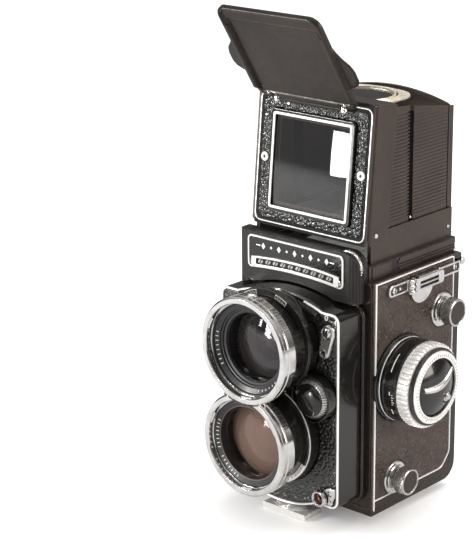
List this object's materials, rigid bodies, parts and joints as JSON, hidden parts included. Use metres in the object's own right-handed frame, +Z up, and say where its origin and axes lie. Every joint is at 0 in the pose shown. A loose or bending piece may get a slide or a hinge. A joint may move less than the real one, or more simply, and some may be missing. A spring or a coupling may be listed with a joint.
{
  "type": "twin lens reflex camera",
  "caption": "Twin lens reflex roll film camera with folding finder hood, sliding lens panel, focus knob, film crank and hinged L-shaped back.",
  "frame": {"origin": "bottom face of the body on the tripod socket axis, 34 mm behind the body's front face", "axes": "+X across the camera towards the focus knob side, -Y out of the lenses, +Z up towards the finder hood"},
  "size_m": [0.1158, 0.1194, 0.2547],
  "materials": {
    "black_enamel": "gloss black enamel over die-cast aluminium",
    "black_crackle": "fine satin black paint over aluminium",
    "leather": "pebbled black leather",
    "side_leather": "fine grained brown-black leather",
    "chrome": "polished chrome plate",
    "knurled_chrome": "knurled satin chrome",
    "lens_glass": "coated optical glass",
    "ground_glass": "ground glass screen",
    "mirror_glass": "front silvered mirror",
    "white_trim": "ivory enamel frame",
    "cell": "honeycomb light cell",
    "anodised_black": "black anodised",
    "steel": "bare steel"
  },
  "bodies": {
    "root": {"body_casting": "black_enamel", "reflex_mirror": "mirror_glass", "focusing_screen": "ground_glass", "hood_base": "black_crackle", "front_plinth": "black_enamel", "meter_housing": "black_crackle", "light_cell": "cell", "cell_frame": "chrome", "side_leathers": "side_leather", "strap_lugs": "chrome", "knob_flange": "black_enamel", "spool_flanges": "chrome", "film_gate": "anodised_black", "back_hinge_pin": "chrome"},
    "film_roller": {"film_roller_lower": "steel"},
    "film_speed_wheel": {"film_speed_wheel": "knurled_chrome"},
    "front_standard": {"standard_housing": "black_enamel", "panel_leather": "leather", "shutter_housing": "black_enamel", "viewing_barrel": "black_enamel", "viewing_ring": "chrome", "viewing_inner_ring": "anodised_black", "viewing_front_element": "lens_glass", "viewing_rear_element": "lens_glass", "taking_barrel": "black_enamel", "taking_ring": "chrome", "taking_inner_ring": "anodised_black", "taking_front_element": "lens_glass", "taking_rear_element": "lens_glass", "window_arch": "black_enamel", "pc_socket": "chrome"},
    "aperture_ring": {"aperture_ring": "anodised_black"},
    "aperture_wheel": {"aperture_wheel": "knurled_chrome"},
    "shutter_wheel": {"shutter_wheel": "knurled_chrome"},
    "timer_lever": {"timer_lever": "chrome"},
    "release_button": {"release_button": "chrome"},
    "release_guard": {"release_guard": "anodised_black"},
    "focus_knob": {"knob_drum": "black_enamel", "knob_grip_ring": "knurled_chrome", "knob_dome": "black_enamel"},
    "exposure_ring": {"exposure_ring": "chrome"},
    "spool_knob_upper": {"spool_knob_upper": "knurled_chrome"},
    "spool_knob_lower": {"spool_knob_lower": "knurled_chrome"},
    "crank_hub": {"crank_hub": "chrome"},
    "crank_arm": {"crank_arm": "chrome"},
    "take_up_key": {"take_up_key": "steel"},
    "back_door": {"back_door": "black_enamel", "rear_leather": "leather", "tripod_socket": "steel"},
    "back_latch": {"back_latch": "chrome"},
    "pressure_plate": {"pressure_plate": "anodised_black"},
    "hood_lid": {"hood_lid": "black_enamel", "window_frame": "white_trim", "finder_lens": "lens_glass"},
    "sports_flap": {"sports_flap": "black_crackle"},
    "magnifier": {"magnifier": "white_trim", "magnifier_lens": "lens_glass"},
    "rear_panel": {"rear_panel": "black_crackle"},
    "side_leaf_right": {"side_leaf_right": "black_crackle"},
    "side_leaf_left": {"side_leaf_left": "black_crackle"}
  },
  "joints": [
    {"name": "focus_slide", "type": "slide", "parent": "root", "child": "front_standard", "axis": [0, -1, 0], "range_m": [0, 0.006]},
    {"name": "focus_turn", "type": "hinge", "parent": "root", "child": "focus_knob", "pos_m": [0.05, -0.012, 0.0674], "axis": [1, 0, 0], "range_deg": [0, 200.1]},
    {"name": "exposure_turn", "type": "hinge", "parent": "focus_knob", "child": "exposure_ring", "pos_m": [0.064, -0.012, 0.0674], "axis": [1, 0, 0], "range_deg": [-150, 150]},
    {"name": "aperture_set", "type": "hinge", "parent": "front_standard", "child": "aperture_wheel", "pos_m": [0.0246, -0.058, 0.0654], "axis": [0, -1, 0], "range_deg": [0, 150]},
    {"name": "aperture_open", "type": "hinge", "parent": "front_standard", "child": "aperture_ring", "pos_m": [0, -0.0615, 0.0414], "axis": [0, -1, 0], "range_deg": [0, 60.1]},
    {"name": "shutter_set", "type": "hinge", "parent": "front_standard", "child": "shutter_wheel", "pos_m": [-0.0246, -0.058, 0.0654], "axis": [0, -1, 0], "range_deg": [0, 270]},
    {"name": "timer_set", "type": "hinge", "parent": "front_standard", "child": "timer_lever", "pos_m": [0.0318, -0.055, 0.0995], "axis": [0, -1, 0], "range_deg": [0, 25]},
    {"name": "release_press", "type": "slide", "parent": "front_standard", "child": "release_button", "axis": [0, 1, 0], "range_m": [0, 0.003], "stiffness_N_per_m": 150},
    {"name": "guard_turn", "type": "hinge", "parent": "front_standard", "child": "release_guard", "pos_m": [-0.0285, -0.055, 0.015], "axis": [0, -1, 0], "range_deg": [0, 45]},
    {"name": "film_speed_turn", "type": "hinge", "parent": "root", "child": "film_speed_wheel", "pos_m": [0.0296, -0.037, 0.1272], "axis": [0, -1, 0], "range_deg": [-150, 150]},
    {"name": "upper_spool_pull", "type": "slide", "parent": "root", "child": "spool_knob_upper", "axis": [1, 0, 0], "range_m": [0, 0.006]},
    {"name": "lower_spool_pull", "type": "slide", "parent": "root", "child": "spool_knob_lower", "axis": [1, 0, 0], "range_m": [0, 0.006]},
    {"name": "crank_turn", "type": "hinge", "parent": "root", "child": "crank_hub", "pos_m": [-0.044, 0, 0.078], "axis": [-1, 0, 0], "range_deg": [-130, 360]},
    {"name": "take_up_turn", "type": "hinge", "parent": "root", "child": "take_up_key", "pos_m": [-0.035, 0.0208, 0.094], "axis": [-1, 0, 0], "range_deg": [-130.1, 360.1]},
    {"name": "crank_fold", "type": "hinge", "parent": "crank_hub", "child": "crank_arm", "pos_m": [-0.0466, -0.011, 0.078], "axis": [0, 0, 1], "range_deg": [0, 170]},
    {"name": "film_roller_turn", "type": "hinge", "parent": "root", "child": "film_roller", "pos_m": [0, 0.0245, 0.0088], "axis": [1, 0, 0], "continuous": true},
    {"name": "door_open", "type": "hinge", "parent": "root", "child": "back_door", "pos_m": [0, 0.0368, 0.1154], "axis": [1, 0, 0], "range_deg": [0, 110]},
    {"name": "latch_turn", "type": "hinge", "parent": "back_door", "child": "back_latch", "pos_m": [0, -0.0354, -0.0017], "axis": [1, 0, 0], "range_deg": [0, 70]},
    {"name": "pressure_plate_give", "type": "slide", "parent": "back_door", "child": "pressure_plate", "axis": [0, 1, 0], "range_m": [0, 0.0006], "stiffness_N_per_m": 200},
    {"name": "hood_fold", "type": "hinge", "parent": "root", "child": "hood_lid", "pos_m": [0, -0.0261, 0.1413], "axis": [-1, 0, 0], "range_deg": [0, 84.4]},
    {"name": "flap_close", "type": "hinge", "parent": "hood_lid", "child": "sports_flap", "pos_m": [0, -0.03029, 0.20099], "axis": [1, 0, 0], "range_deg": [0, 141.5]},
    {"name": "magnifier_fold", "type": "hinge", "parent": "hood_lid", "child": "magnifier", "pos_m": [0, -0.02387, 0.19886], "axis": [-1, 0, 0], "range_deg": [0, 95.7]},
    {"name": "rear_panel_fold", "type": "hinge", "parent": "root", "child": "rear_panel", "pos_m": [0, 0.0343, 0.1398], "axis": [1, 0, 0], "range_deg": [0, 90.1], "deforming": ["rear_panel"]},
    {"name": "right_leaf_fold", "type": "hinge", "parent": "root", "child": "side_leaf_right", "pos_m": [0.0351, 0, 0.137], "axis": [0, -1, 0], "range_deg": [0, 90.1], "deforming": ["side_leaf_right"]},
    {"name": "left_leaf_fold", "type": "hinge", "parent": "root", "child": "side_leaf_left", "pos_m": [-0.0351, 0, 0.1384], "axis": [0, 1, 0], "range_deg": [0, 90.1], "deforming": ["side_leaf_left"]}
  ],
  "couplings": [
    {"joint": "focus_turn", "follows": "focus_slide", "rad_per_m": 581.78},
    {"joint": "aperture_open", "follows": "aperture_set", "ratio": 0.4},
    {"joint": "take_up_turn", "follows": "crank_turn", "ratio": 1},
    {"joint": "magnifier_fold", "follows": "hood_fold", "ratio": 1.1327},
    {"joint": "rear_panel_fold", "follows": "hood_fold", "ratio": 1.0664},
    {"joint": "right_leaf_fold", "follows": "hood_fold", "ratio": 1.0664},
    {"joint": "left_leaf_fold", "follows": "hood_fold", "ratio": 1.0664}
  ]
}
